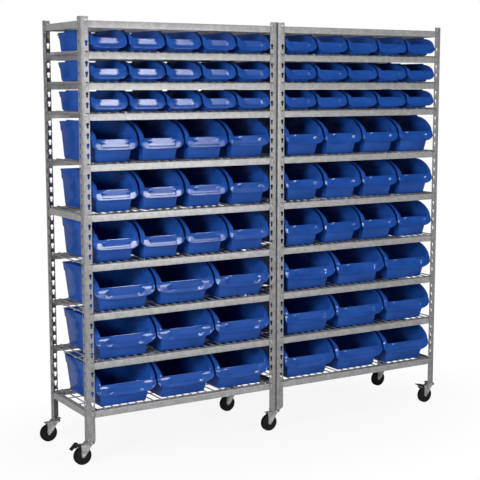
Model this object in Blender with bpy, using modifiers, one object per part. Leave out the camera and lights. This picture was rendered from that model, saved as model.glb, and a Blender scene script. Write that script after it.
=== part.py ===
"""Mobile bin cart: two bays of slotted-angle shelving on six casters, with nine rows of hopper bins in each bay.

X runs along the front, Y from front to rear and Z up. The origin is on the floor under the middle of the cart.
The pieces are placed from the front left corner of the frame, and the root then moves them all together.
"""

import math

import bmesh
import bpy
from mathutils import Matrix, Vector

# Frame of slotted angle
SLOT_PITCH = 0.0381
BAY_WIDTH = 0.8624
BAY_GAP = 0.006
FRAME_DEPTH = 0.3757
POST_FLANGE = 0.0314
POST_WALL = 0.002
POST_ABOVE_TOP_LEVEL = 0.0152
POST_BELOW_BOTTOM_LEVEL = 0.1131
CLEAR = 0.0003
OVERRUN = 0.01

# Levels, from the top down: how many slots each one lies above the lowest
LEVEL_SLOTS = (39, 36, 33, 30, 25, 20, 15, 10, 5, 0)
LEVELS_WITH_SIDE_BEAMS = (0, 5, 9)
BEAM_HEIGHT = 0.0262
BEAM_WALL = 0.002
BEAM_LEDGE = 0.02

# Wire decks
WIRE = 0.005
WIRE_SEAT = 0.0005
WIRE_DROP = 0.0002
DECK_SIDE_MARGIN = 0.008
DECK_WIRES = 11
LONG_WIRE_SHARES = (0.34, 0.66)

# Casters
FOOT_PLATE = 0.036
FOOT_PLATE_WALL = 0.003
STEM_INSET = 0.01
STEM_DEPTH = 0.014
STEM_RADIUS = 0.005
CASTER_TRAIL = 0.029
WHEEL_RADIUS = 0.0355
WHEEL_WIDTH = 0.018
WHEEL_SHOULDER = 0.003
WHEEL_STEPS = 16
WHEEL_SIDE_CLEAR = 0.0005
WHEEL_HEAD_CLEAR = 0.008
AXLE_RADIUS = 0.004
AXLE_NUT_RADIUS = 0.0065
AXLE_NUT_HEIGHT = 0.003
PIN_SIDES = 6
RACEWAY_RADIUS = 0.022
RACEWAY_HEIGHT = 0.0073
CROWN_RADIUS = 0.024
CROWN_HEIGHT = 0.004
CROWN_SIDES = 10
FORK_WALL = 0.002
FORK_FOOT_RADIUS = 0.0075
FORK_FOOT_ANGLES = (180, 240, 300, 340)

# Fork leg above its foot: back from the axle as a share of the trail, up as a share of the leg's height
FORK_LEG_SHARES = ((0.93, 0.57), (1.41, 1.0), (-0.62, 1.0))
FORK_LEG_INNER_SHARES = (-0.24, 0.62)

# Brake pedals
PEDAL_PIN_BACK = 0.025
PEDAL_PIN_RISE = 0.0395
PEDAL_PIN_RADIUS = 0.0022
PEDAL_EAR_RADIUS = 0.005
PEDAL_EAR_ANGLES = (110, 180, 250)
PEDAL_LENGTH = 0.0333
PEDAL_HEEL = 0.0085
PEDAL_RISE = 0.0102
PEDAL_WALL = 0.0035
PEDAL_CHEEK_WALL = 0.0015
PEDAL_CHEEK_ANGLES = (180, 225, 270, 315, 360)
PEDAL_CHEEK_SHARE = 0.7
PEDAL_RAISED_DEG = 10
PEDAL_TRAVEL_DEG = 50

# Bins
ROW_CLEAR = 0.001
BIN_GAP = 0.010
BIN_STANDOFF = 0.009
BIN_WALL = 0.0025
FLANGE_WALL = 0.0025
FLANGE_SINK = 0.001
BIN_BASE_FRONT = 0.033
BIN_BASE_BACK = 0.336
BIN_TOP_BACK = 0.342
BIN_TOP_INSET = 0.009
BIN_RIDGE_BACK = 0.267
HANGER_REACH = 0.033
HANGER_WALL = 0.0025
BIN_SIZES = {
    "small": {
        "count": 5,
        "height": 0.076,
        "ridge": 0.005,
        "lip": 0.0482,
        "flange_low": 0.0087,
        "base_inset": 0.0188,
        "scoop": 0.062,
    },
    "medium": {
        "count": 4,
        "height": 0.150,
        "ridge": 0.0065,
        "lip": 0.0882,
        "flange_low": 0.0447,
        "base_inset": 0.0237,
        "scoop": 0.094,
    },
    "large": {
        "count": 3,
        "height": 0.1527,
        "ridge": 0.0045,
        "lip": 0.0932,
        "flange_low": 0.0427,
        "base_inset": 0.03,
        "scoop": 0.09,
    },
}
ROW_KINDS = ("small", "small", "small", "medium", "medium", "medium", "large", "large", "large")

# Front flange of a bin: across as a share of its half width, up as a share of its height
FLANGE_SHARES = (
    (-1.0, 1.0),
    (-1.0, 0.5),
    (-0.86, 0.12),
    (-0.55, 0.0),
    (0.55, 0.0),
    (0.86, 0.12),
    (1.0, 0.5),
    (1.0, 1.0),
)

# Scoop line of a bin: back as a share of the scoop's depth, up as a share of its rise from lip to rim
SCOOP_SHARES = ((0.1, 0.0), (0.14, 0.2), (0.3, 0.55), (0.6, 0.83), (1.0, 1.06))

# Linear colour, roughness and metallic value of each finish
FINISHES = {
    "post_paint": ((0.5, 0.5, 0.51), 0.5, 0.4),
    "beam_paint": ((0.66, 0.66, 0.67), 0.5, 0.3),
    "zinc_plate": ((0.42, 0.43, 0.42), 0.4, 0.9),
    "wheel_rubber": ((0.012, 0.012, 0.012), 0.6, 0.0),
    "pedal_black": ((0.02, 0.02, 0.02), 0.5, 0.0),
    "bin_blue": ((0.012, 0.07, 0.42), 0.35, 0.0),
}

# Heights and places that follow from the sizes above
CART_LENGTH = 2 * BAY_WIDTH + BAY_GAP
CROWN_LOW = 2 * WHEEL_RADIUS + WHEEL_HEAD_CLEAR
CROWN_TOP = CROWN_LOW + CROWN_HEIGHT
RACEWAY_TOP = CROWN_TOP + RACEWAY_HEIGHT
FOOT_PLATE_LOW = RACEWAY_TOP + CLEAR
POST_FOOT = FOOT_PLATE_LOW + FOOT_PLATE_WALL
BOTTOM_LEVEL = POST_FOOT + POST_BELOW_BOTTOM_LEVEL
POST_TOP = BOTTOM_LEVEL + max(LEVEL_SLOTS) * SLOT_PITCH + POST_ABOVE_TOP_LEVEL
BEAM_INSET = POST_WALL + CLEAR
FORK_INNER = WHEEL_WIDTH / 2 + WHEEL_SIDE_CLEAR
FORK_OUTER = FORK_INNER + FORK_WALL
LEG_HEIGHT = CROWN_LOW + CROWN_HEIGHT / 2 - WHEEL_RADIUS
BAYS = {"left": 0, "right": BAY_WIDTH + BAY_GAP}
ENDS = {"front": 1, "rear": -1}


def clear_scene():
    for old in list(bpy.data.objects):
        bpy.data.objects.remove(old, do_unlink=True)


def make_collection(name):
    collection = bpy.data.collections.new(name)
    bpy.context.scene.collection.children.link(collection)
    return collection


def make_material(name):
    colour, roughness, metallic = FINISHES[name]
    material = bpy.data.materials.new(name)
    material.use_nodes = True
    shader = material.node_tree.nodes["Principled BSDF"]
    shader.inputs["Base Color"].default_value = (*colour, 1)
    shader.inputs["Roughness"].default_value = roughness
    shader.inputs["Metallic"].default_value = metallic
    material.diffuse_color = (*colour, 1)
    return material


def mesh_from(bm, name):
    mesh = bpy.data.meshes.new(name)
    bm.to_mesh(mesh)
    bm.free()
    return mesh


def box(low, high):
    """A box between two corners."""
    low, high = Vector(low), Vector(high)
    bm = bmesh.new()
    bmesh.ops.create_cube(bm, size=1)
    bmesh.ops.scale(bm, vec=high - low, verts=bm.verts)
    bmesh.ops.translate(bm, vec=(low + high) / 2, verts=bm.verts)
    return mesh_from(bm, "box")


def rod(radius, start, end, sides):
    """A closed round bar from one point to another."""
    start, end = Vector(start), Vector(end)
    bm = bmesh.new()
    bmesh.ops.create_cone(
        bm, cap_ends=True, segments=sides, radius1=radius, radius2=radius, depth=(end - start).length
    )
    aim = (end - start).to_track_quat("Z", "Y").to_matrix().to_4x4()
    bmesh.ops.transform(bm, matrix=Matrix.Translation((start + end) / 2) @ aim, verts=bm.verts)
    return mesh_from(bm, "rod")


def cross_rod(radius, half_length, across, up):
    """A round bar along Y, its middle at Y = 0."""
    return rod(radius, (across, -half_length, up), (across, half_length, up), PIN_SIDES)


def round_hole(radius, sides):
    """The corner radius of a faceted hole that leaves a round of the given radius its clearance."""
    return (radius + CLEAR) / math.cos(math.pi / sides)


def evaluated_mesh(holder):
    """The mesh of an object with its modifiers applied, in its own space."""
    bpy.context.view_layer.update()
    graph = bpy.context.evaluated_depsgraph_get()
    return bpy.data.meshes.new_from_object(holder.evaluated_get(graph))


def plate(outline, wall):
    """A flat plate with its outline in X and Y and its thickness centred on Z = 0."""
    curve = bpy.data.curves.new("outline", "CURVE")
    curve.dimensions = "2D"
    curve.fill_mode = "BOTH"
    curve.extrude = wall / 2
    spline = curve.splines.new("POLY")
    spline.points.add(len(outline) - 1)
    for point, (across, up) in zip(spline.points, outline):
        point.co = (across, up, 0, 1)
    spline.use_cyclic_u = True
    holder = bpy.data.objects.new("outline", curve)
    cutters.objects.link(holder)
    flat = evaluated_mesh(holder)
    bpy.data.objects.remove(holder)
    bm = bmesh.new()
    bm.from_mesh(flat)
    bmesh.ops.remove_doubles(bm, verts=bm.verts, dist=CLEAR / 10)
    bmesh.ops.recalc_face_normals(bm, faces=bm.faces)
    return mesh_from(bm, "plate")


def upright_plate(outline, wall, middle):
    """A plate with its outline in X and Z and its thickness centred on Y = middle."""
    upright = plate(outline, wall)
    upright.transform(Matrix.Translation((0, middle, 0)) @ Matrix.Rotation(math.radians(90), 4, "X"))
    return upright


def side_plate(outline, width):
    """A plate with its outline in Y and Z and its thickness centred on X = 0."""
    side = plate(outline, width)
    side.transform(Matrix.Rotation(math.radians(90), 4, "Z") @ Matrix.Rotation(math.radians(90), 4, "X"))
    return side


def arc(centre, radius, angles):
    return [
        (
            centre[0] + radius * math.cos(math.radians(angle)),
            centre[1] + radius * math.sin(math.radians(angle)),
        )
        for angle in angles
    ]


def moved(mesh, offset):
    copy = mesh.copy()
    copy.transform(Matrix.Translation(offset))
    return copy


def gathered(meshes):
    """Several meshes as one, each still its own shell."""
    bm = bmesh.new()
    for mesh in meshes:
        bm.from_mesh(mesh)
    return mesh_from(bm, "gathered")


def combined(base, steps):
    """The base mesh after a list of Boolean steps, each an operation and a mesh."""
    work = bpy.data.objects.new("work", base)
    cutters.objects.link(work)
    helpers = [work]
    for operation, mesh in steps:
        helper = bpy.data.objects.new("cutter", mesh)
        cutters.objects.link(helper)
        helpers.append(helper)
        step = work.modifiers.new(operation.lower(), "BOOLEAN")
        step.operation = operation
        step.object = helper
    result = evaluated_mesh(work)
    for helper in helpers:
        bpy.data.objects.remove(helper)
    return result


def thickened(mesh, wall):
    """An open surface made a wall that grows inwards."""
    work = bpy.data.objects.new("work", mesh)
    cutters.objects.link(work)
    shell = work.modifiers.new("wall", "SOLIDIFY")
    shell.thickness = wall
    shell.offset = -1
    shell.use_even_offset = True
    result = evaluated_mesh(work)
    bpy.data.objects.remove(work)
    return result


def add_part(name, mesh, material, place, parent=None):
    if not mesh.materials:
        mesh.materials.append(material)
    part = bpy.data.objects.new(name, mesh)
    parts.objects.link(part)
    part.location = place
    part.parent = parent or root
    return part


def shade_round(part):
    part.data.shade_smooth()
    part.data.set_sharp_from_angle(angle=math.radians(40))


def level_height(level):
    return BOTTOM_LEVEL + LEVEL_SLOTS[level] * SLOT_PITCH


def post_mesh(side, end, shoe_reach):
    """An angle post in a corner of its bay. Side and end say which way its two flanges run.

    Shoe_reach is how far its foot plate goes past the corner, or None for a post on its neighbour's plate.
    """
    outline = [
        (0, 0),
        (side * POST_FLANGE, 0),
        (side * POST_FLANGE, end * POST_WALL),
        (side * POST_WALL, end * POST_WALL),
        (side * POST_WALL, end * POST_FLANGE),
        (0, end * POST_FLANGE),
    ]
    if shoe_reach is None:
        foot = POST_FOOT + CLEAR
    else:
        foot = POST_FOOT - FOOT_PLATE_WALL / 2
    angle = moved(plate(outline, POST_TOP - foot), (0, 0, (POST_TOP + foot) / 2))
    if shoe_reach is None:
        return angle
    across = sorted((side * FOOT_PLATE, -side * shoe_reach))
    deep = sorted((0, end * FOOT_PLATE))
    shoe = box((across[0], deep[0], FOOT_PLATE_LOW), (across[1], deep[1], POST_FOOT))
    if shoe_reach:
        stem_across = -side * BAY_GAP / 2
    else:
        stem_across = side * STEM_INSET
    stem = rod(
        STEM_RADIUS,
        (stem_across, end * STEM_DEPTH, CROWN_LOW),
        (stem_across, end * STEM_DEPTH, POST_FOOT - FOOT_PLATE_WALL / 2),
        PIN_SIDES,
    )
    return combined(angle, [("UNION", shoe), ("UNION", stem)])


def add_posts():
    shared_reach = BAY_GAP + FOOT_PLATE
    posts = {
        "left": (BAYS["left"], 1, 0),
        "centre_left": (BAY_WIDTH, -1, shared_reach),
        "centre_right": (BAYS["right"], 1, None),
        "right": (CART_LENGTH, -1, 0),
    }
    for end_name, end in ENDS.items():
        corner_depth = 0 if end > 0 else FRAME_DEPTH
        for name, (across, side, reach) in posts.items():
            mesh = post_mesh(side, end, reach)
            add_part(f"{end_name}_{name}_post", mesh, finishes["post_paint"], (across, corner_depth, 0))


def beam_mesh(end):
    """A beam of angle section along the front or rear, its ledge level with Z = 0."""
    outer = BEAM_INSET if end > 0 else FRAME_DEPTH - BEAM_INSET
    ledge = sorted((outer, outer + end * BEAM_LEDGE))
    hollow = sorted((outer + end * BEAM_WALL, outer + end * (BEAM_LEDGE + OVERRUN)))
    low, high = BEAM_INSET, BAY_WIDTH - BEAM_INSET
    solid = box((low, ledge[0], -BEAM_HEIGHT), (high, ledge[1], 0))
    cut = box(
        (low - OVERRUN, hollow[0], -BEAM_HEIGHT - OVERRUN),
        (high + OVERRUN, hollow[1], -BEAM_WALL),
    )
    return combined(solid, [("DIFFERENCE", cut)])


def beam_ring_mesh():
    """Front, rear and side beams of angle section, joined at their corners."""
    solid = box(
        (BEAM_INSET, BEAM_INSET, -BEAM_HEIGHT),
        (BAY_WIDTH - BEAM_INSET, FRAME_DEPTH - BEAM_INSET, 0),
    )
    inside = BEAM_INSET + BEAM_WALL
    cavity = box(
        (inside, inside, -BEAM_HEIGHT - OVERRUN),
        (BAY_WIDTH - inside, FRAME_DEPTH - inside, -BEAM_WALL),
    )
    edge = BEAM_INSET + BEAM_LEDGE
    opening = box(
        (edge, edge, -BEAM_HEIGHT - OVERRUN),
        (BAY_WIDTH - edge, FRAME_DEPTH - edge, OVERRUN),
    )
    return combined(solid, [("DIFFERENCE", cavity), ("DIFFERENCE", opening)])


def deck_mesh():
    """A wire deck: an edge wire that lies on the beams' ledges, wires from front to rear and two long ones."""
    deck_front = BEAM_INSET + (BEAM_LEDGE - WIRE) / 2
    left, right = DECK_SIDE_MARGIN, BAY_WIDTH - DECK_SIDE_MARGIN
    front, rear = deck_front, FRAME_DEPTH - deck_front
    edge = box((left, front, -WIRE_SEAT), (right, rear, WIRE))
    inner = box(
        (left + WIRE, front + WIRE, -WIRE_SEAT - OVERRUN),
        (right - WIRE, rear - WIRE, WIRE + OVERRUN),
    )
    corner_radius = WIRE / math.sqrt(3)
    cross_low = WIRE - WIRE_DROP - corner_radius * 3 / 2
    cross_middle = WIRE - WIRE_DROP - corner_radius / 2
    pitch = (right - left - WIRE) / (DECK_WIRES + 1)
    cross_wires = []
    for index in range(DECK_WIRES):
        across = left + WIRE / 2 + pitch * (index + 1)
        wire = rod(corner_radius, (0, 0, 0), (0, rear - front - WIRE, 0), 3)
        flatten_top(wire)
        cross_wires.append(moved(wire, (across, front + WIRE / 2, cross_middle)))
    long_top = cross_low - CLEAR
    long_wires = []
    for share in LONG_WIRE_SHARES:
        depth = front + share * (rear - front)
        long_wires.append(
            box(
                (left + WIRE / 2, depth - WIRE / 2, long_top - WIRE),
                (right - WIRE / 2, depth + WIRE / 2, long_top),
            )
        )
    return combined(
        edge,
        [
            ("DIFFERENCE", inner),
            ("UNION", gathered(cross_wires)),
            ("UNION", gathered(long_wires)),
        ],
    )


def flatten_top(wire):
    """Turns a three-sided rod along Y so that one of its sides faces up."""
    highest = max(wire.vertices, key=lambda vertex: vertex.co.z).co
    lean = math.atan2(highest.x, highest.z)
    wire.transform(Matrix.Rotation(math.radians(60) - lean, 4, "Y"))


def add_levels():
    front_and_rear = gathered([beam_mesh(end) for end in ENDS.values()])
    ring = beam_ring_mesh()
    deck = deck_mesh()
    open_shelf = combined(deck, [("UNION", front_and_rear)])
    ringed_shelf = combined(deck.copy(), [("UNION", ring.copy())])
    for bay, across in BAYS.items():
        for level in range(len(LEVEL_SLOTS)):
            name = f"{bay}_shelf_{level}"
            mesh = open_shelf
            if level in LEVELS_WITH_SIDE_BEAMS:
                mesh = ringed_shelf
            if level == 0:
                name = f"{bay}_top_frame"
                mesh = ring
            add_part(name, mesh, finishes["beam_paint"], (across, 0, level_height(level)))


def fork_leg(middle, braked):
    """One leg of a fork, with an ear for the brake pedal's pin where it is braked."""
    axle = (-CASTER_TRAIL, WHEEL_RADIUS)
    outline = arc(axle, FORK_FOOT_RADIUS, FORK_FOOT_ANGLES)
    for back, up in FORK_LEG_SHARES:
        outline.append((axle[0] + back * CASTER_TRAIL, axle[1] + up * LEG_HEIGHT))
    if braked:
        pin = (axle[0] - PEDAL_PIN_BACK, axle[1] + PEDAL_PIN_RISE)
        outline += arc(pin, PEDAL_EAR_RADIUS, PEDAL_EAR_ANGLES)
    back, up = FORK_LEG_INNER_SHARES
    outline.append((axle[0] + back * CASTER_TRAIL, axle[1] + up * LEG_HEIGHT))
    return upright_plate(outline, FORK_WALL, middle)


def fork_mesh(braked):
    """Swivel head, two legs and axle of a caster, around the swivel axis and up from the floor."""
    raceway = rod(RACEWAY_RADIUS, (0, 0, CROWN_LOW + CROWN_HEIGHT / 2), (0, 0, RACEWAY_TOP), CROWN_SIDES)
    crown = rod(CROWN_RADIUS, (0, 0, CROWN_LOW), (0, 0, CROWN_TOP), CROWN_SIDES)
    middle = FORK_INNER + FORK_WALL / 2
    web_back = -CASTER_TRAIL * (1 - FORK_LEG_SHARES[-1][0])
    web = box(
        (web_back, -middle, CROWN_LOW + CROWN_HEIGHT / 8),
        (0, middle, CROWN_LOW + CROWN_HEIGHT * 3 / 8),
    )
    legs = [fork_leg(side * middle, braked) for side in (-1, 1)]
    axle = cross_rod(AXLE_RADIUS, middle, -CASTER_TRAIL, WHEEL_RADIUS)
    nut_end = FORK_OUTER + AXLE_NUT_HEIGHT
    nuts = [
        rod(
            AXLE_NUT_RADIUS,
            (-CASTER_TRAIL, side * middle, WHEEL_RADIUS),
            (-CASTER_TRAIL, side * nut_end, WHEEL_RADIUS),
            PIN_SIDES,
        )
        for side in (-1, 1)
    ]
    steps = [("UNION", crown), ("UNION", web), ("UNION", gathered(legs)), ("UNION", gathered([axle, *nuts]))]
    if braked:
        pin_end = FORK_OUTER + CLEAR + PEDAL_CHEEK_WALL + CLEAR
        pin = cross_rod(
            PEDAL_PIN_RADIUS,
            pin_end,
            -CASTER_TRAIL - PEDAL_PIN_BACK,
            WHEEL_RADIUS + PEDAL_PIN_RISE,
        )
        steps.append(("UNION", pin))
    bore = rod(
        round_hole(STEM_RADIUS, PIN_SIDES),
        (0, 0, CROWN_LOW - OVERRUN),
        (0, 0, RACEWAY_TOP + OVERRUN),
        PIN_SIDES,
    )
    steps.append(("DIFFERENCE", bore))
    return combined(raceway, steps)


def wheel_mesh():
    """A wheel turned about Y, with a flat side down so that it stands on a face and not on an edge."""
    corner_radius = WHEEL_RADIUS / math.cos(math.pi / WHEEL_STEPS)
    bore_radius = round_hole(AXLE_RADIUS, WHEEL_STEPS)
    half = WHEEL_WIDTH / 2
    profile = (
        (bore_radius, half),
        (corner_radius - WHEEL_SHOULDER, half),
        (corner_radius, half - WHEEL_SHOULDER),
        (corner_radius, WHEEL_SHOULDER - half),
        (corner_radius - WHEEL_SHOULDER, -half),
        (bore_radius, -half),
    )
    bm = bmesh.new()
    points = [bm.verts.new((radius, 0, height)) for radius, height in profile]
    for start, end in zip(points, points[1:] + points[:1]):
        bm.edges.new((start, end))
    work = bpy.data.objects.new("work", mesh_from(bm, "profile"))
    cutters.objects.link(work)
    turn = work.modifiers.new("turn", "SCREW")
    turn.steps = WHEEL_STEPS
    turn.render_steps = WHEEL_STEPS
    turn.use_merge_vertices = True
    turn.merge_threshold = CLEAR / 10
    wheel = evaluated_mesh(work)
    bpy.data.objects.remove(work)
    half_step = Matrix.Rotation(math.pi / WHEEL_STEPS, 4, "Z")
    wheel.transform(Matrix.Rotation(math.radians(90), 4, "X") @ half_step)
    return wheel


def pedal_mesh():
    """A brake pedal around its pin: a tread and two cheeks that reach down outside the fork's ears."""
    cheek_inner = FORK_OUTER + CLEAR
    cheek_outer = cheek_inner + PEDAL_CHEEK_WALL
    tread = box(
        (PEDAL_HEEL - PEDAL_LENGTH, -cheek_outer, PEDAL_RISE - PEDAL_WALL / 2),
        (PEDAL_HEEL, cheek_outer, PEDAL_RISE + PEDAL_WALL / 2),
    )
    outline = arc((0, 0), PEDAL_EAR_RADIUS, PEDAL_CHEEK_ANGLES)
    outline += [
        (PEDAL_HEEL * PEDAL_CHEEK_SHARE, PEDAL_RISE),
        (PEDAL_HEEL - PEDAL_LENGTH * PEDAL_CHEEK_SHARE, PEDAL_RISE),
    ]
    middle = (cheek_inner + cheek_outer) / 2
    cheeks = gathered([upright_plate(outline, PEDAL_CHEEK_WALL, side * middle) for side in (-1, 1)])
    hole = cross_rod(round_hole(PEDAL_PIN_RADIUS, PIN_SIDES), cheek_outer + OVERRUN, 0, 0)
    return combined(tread, [("UNION", cheeks), ("DIFFERENCE", hole)])


def add_casters():
    plain_fork = fork_mesh(braked=False)
    braked_fork = fork_mesh(braked=True)
    wheel_shape = wheel_mesh()
    pedal_shape = pedal_mesh()
    stems = {"left": STEM_INSET, "centre": CART_LENGTH / 2, "right": CART_LENGTH - STEM_INSET}
    pedal_angles = {"left": PEDAL_RAISED_DEG - PEDAL_TRAVEL_DEG, "right": PEDAL_RAISED_DEG}
    for end_name, end in ENDS.items():
        depth = STEM_DEPTH if end > 0 else FRAME_DEPTH - STEM_DEPTH
        for side, across in stems.items():
            place = f"{end_name}_{side}"
            braked = end > 0 and side in pedal_angles
            fork_shape = braked_fork if braked else plain_fork
            fork = add_part(f"{place}_caster_fork", fork_shape, finishes["zinc_plate"], (across, depth, 0))
            shade_round(fork)
            axle_place = (-CASTER_TRAIL, 0, WHEEL_RADIUS)
            wheel = add_part(f"{place}_caster_wheel", wheel_shape, finishes["wheel_rubber"], axle_place, fork)
            shade_round(wheel)
            if braked:
                pin_place = (-CASTER_TRAIL - PEDAL_PIN_BACK, 0, WHEEL_RADIUS + PEDAL_PIN_RISE)
                pedal = add_part(
                    f"{place}_brake_pedal", pedal_shape, finishes["pedal_black"], pin_place, fork
                )
                pedal.rotation_euler.y = math.radians(pedal_angles[side])


def bin_pitch(size):
    opening = BAY_WIDTH - 2 * POST_FLANGE - 2 * ROW_CLEAR
    return opening / size["count"]


def bin_body(size, half_width):
    """A tapered tray, open at the top and as high as its ridges, whose front leans out to the flange."""
    height, lip = size["height"], size["lip"]
    lean = (BIN_BASE_FRONT - FLANGE_WALL + FLANGE_SINK) / lip
    top_front = BIN_BASE_FRONT - lean * height
    bm = bmesh.new()
    bmesh.ops.create_cube(bm, size=2)
    for corner in bm.verts:
        side, on_top, at_back = corner.co.x, corner.co.z > 0, corner.co.y > 0
        base_deep, rim_deep = (BIN_BASE_BACK, BIN_TOP_BACK) if at_back else (BIN_BASE_FRONT, top_front)
        base = Vector((side * (half_width - size["base_inset"]), base_deep, 0))
        rim = Vector((side * (half_width - BIN_TOP_INSET), rim_deep, height))
        corner.co = base.lerp(rim, 1 + size["ridge"] / height) if on_top else base
    lid = [face for face in bm.faces if face.normal.z > 1 / 2]
    bmesh.ops.delete(bm, geom=lid, context="FACES_ONLY")
    return thickened(mesh_from(bm, "tray"), BIN_WALL)


def bin_mesh(size):
    """One hopper bin: its middle at X = 0, its flange at Y = 0 and its base at Z = 0."""
    height, lip, low = size["height"], size["lip"], size["flange_low"]
    half_width = (bin_pitch(size) - BIN_GAP) / 2
    ahead, behind = -BIN_BASE_FRONT, BIN_TOP_BACK + OVERRUN
    above = height + size["ridge"] + OVERRUN
    start = lip - FLANGE_SINK / 2
    line = [(back * size["scoop"], start + rise * (height - start)) for back, rise in SCOOP_SHARES]
    line.append((line[-1][0] + OVERRUN / 2, above))
    scoop = side_plate([(ahead, start), *line, (ahead, above)], 2 * half_width + OVERRUN)
    ridge_end = [(BIN_RIDGE_BACK + size["ridge"], height), (BIN_RIDGE_BACK - OVERRUN, above)]
    rear = side_plate([ridge_end[0], (behind, height), (behind, above), ridge_end[1]], 2 * half_width + OVERRUN)
    outline = [(across * half_width, low + up * (lip - low)) for across, up in FLANGE_SHARES]
    flange = upright_plate(outline, FLANGE_WALL, FLANGE_WALL / 2)
    tray = bin_body(size, half_width)
    return combined(tray, [("DIFFERENCE", scoop), ("DIFFERENCE", rear), ("UNION", flange)])


def row_mesh(size):
    """The bins of one row, joined by the hanging lip behind them."""
    pitch = bin_pitch(size)
    one = bin_mesh(size)
    middles = [pitch * (index - (size["count"] - 1) / 2) for index in range(size["count"])]
    bins = gathered([moved(one, (middle, 0, 0)) for middle in middles])
    reach = middles[-1] + (pitch - BIN_GAP) / 2 - BIN_TOP_INSET - BIN_WALL / 2
    hanger = box(
        (-reach, BIN_TOP_BACK - BIN_WALL / 2, size["height"] - HANGER_WALL / 2),
        (reach, BIN_TOP_BACK + HANGER_REACH, size["height"] + HANGER_WALL / 2),
    )
    return combined(bins, [("UNION", hanger)])


def add_bin_rows():
    rows = {kind: row_mesh(size) for kind, size in BIN_SIZES.items()}
    for bay, across in BAYS.items():
        for number, kind in enumerate(ROW_KINDS, start=1):
            place = (across + BAY_WIDTH / 2, -BIN_STANDOFF, level_height(number) + WIRE + CLEAR)
            add_part(f"{bay}_bin_row_{number}", rows[kind], finishes["bin_blue"], place)


def stand_on_origin():
    """Moves the root so that the middle of the whole cart's base is at the origin."""
    bpy.context.view_layer.update()
    points = [
        part.matrix_world @ vertex.co
        for part in parts.objects
        if part.type == "MESH"
        for vertex in part.data.vertices
    ]
    low = [min(point[axis] for point in points) for axis in range(3)]
    high = [max(point[axis] for point in points) for axis in range(3)]
    root.location = (-(low[0] + high[0]) / 2, -(low[1] + high[1]) / 2, -low[2])


clear_scene()
parts = make_collection("mobile_bin_cart")
cutters = make_collection("cutters")
finishes = {name: make_material(name) for name in FINISHES}
root = bpy.data.objects.new("cart_root", None)
parts.objects.link(root)
add_posts()
add_levels()
add_casters()
add_bin_rows()
stand_on_origin()
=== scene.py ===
import math
from contextlib import contextmanager

import bmesh
import bpy
from mathutils import Matrix, Vector


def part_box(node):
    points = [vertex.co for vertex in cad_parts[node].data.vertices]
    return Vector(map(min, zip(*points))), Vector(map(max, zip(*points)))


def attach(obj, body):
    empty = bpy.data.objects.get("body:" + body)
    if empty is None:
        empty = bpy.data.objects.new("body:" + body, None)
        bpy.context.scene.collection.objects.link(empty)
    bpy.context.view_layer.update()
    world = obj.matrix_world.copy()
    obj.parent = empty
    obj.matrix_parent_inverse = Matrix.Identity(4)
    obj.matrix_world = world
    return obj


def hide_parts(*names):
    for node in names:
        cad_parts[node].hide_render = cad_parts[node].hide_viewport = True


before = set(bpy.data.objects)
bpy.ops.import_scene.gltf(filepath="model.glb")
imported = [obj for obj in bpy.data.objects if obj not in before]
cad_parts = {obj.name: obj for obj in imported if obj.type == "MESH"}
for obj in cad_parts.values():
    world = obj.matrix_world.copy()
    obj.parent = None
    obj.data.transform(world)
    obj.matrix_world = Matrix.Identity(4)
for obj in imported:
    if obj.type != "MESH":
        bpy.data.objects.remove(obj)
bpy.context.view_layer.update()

bays = ("left", "right")
binKinds = ("small",) * 3 + ("medium",) * 3 + ("large",) * 3
# how far a shelf's wires rise over its beams
deckRise = 0.005


def pick(*pieces):
    bpy.ops.object.select_all(action="DESELECT")
    for piece in pieces:
        piece.select_set(True)
    bpy.context.view_layer.objects.active = pieces[0]


@contextmanager
def editing(piece):
    pick(piece)
    bpy.ops.object.mode_set(mode="EDIT")
    yield
    bpy.ops.object.mode_set(mode="OBJECT")


def middleOf(part):
    if isinstance(part, bmesh.types.BMVert):
        return part.co
    if isinstance(part, bmesh.types.BMEdge):
        return (part.verts[0].co + part.verts[1].co) / 2
    return part.calc_center_median()


def choose(piece, kind, test):
    # in edit mode, leaves only the faces, edges or verts that pass the test selected
    bpy.ops.mesh.select_mode(type={"verts": "VERT", "edges": "EDGE", "faces": "FACE"}[kind])
    bpy.ops.mesh.select_all(action="DESELECT")
    shape = bmesh.from_edit_mesh(piece.data)
    for part in getattr(shape, kind):
        if test(part):
            part.select_set(True)
    shape.select_flush_mode()
    bmesh.update_edit_mesh(piece.data)


def settle(piece):
    pick(piece)
    bpy.ops.object.transform_apply(location=True, rotation=True, scale=True)
    return piece


def startBox(name, low, high):
    low, high = Vector(low), Vector(high)
    bpy.ops.object.select_all(action="DESELECT")
    bpy.ops.mesh.primitive_cube_add(size=1, location=(low + high) / 2, scale=high - low)
    piece = bpy.context.object
    piece.name = name
    return settle(piece)


def startRod(name, radius, start, end, sides):
    start, end = Vector(start), Vector(end)
    aim = (end - start).to_track_quat("Z", "Y").to_euler()
    bpy.ops.object.select_all(action="DESELECT")
    bpy.ops.mesh.primitive_cylinder_add(
        vertices=sides, radius=radius, depth=(end - start).length, location=(start + end) / 2, rotation=aim
    )
    piece = bpy.context.object
    piece.name = name
    return settle(piece)


def startRing(name, points):
    # a closed outline in X and Z with nothing inside it, from a circle whose points are moved into place
    bpy.ops.object.select_all(action="DESELECT")
    bpy.ops.mesh.primitive_circle_add(vertices=len(points), radius=1)
    piece = bpy.context.object
    piece.name = name
    for vertex, (across, up) in zip(piece.data.vertices, points):
        vertex.co = (across, 0, up)
    return piece


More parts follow.
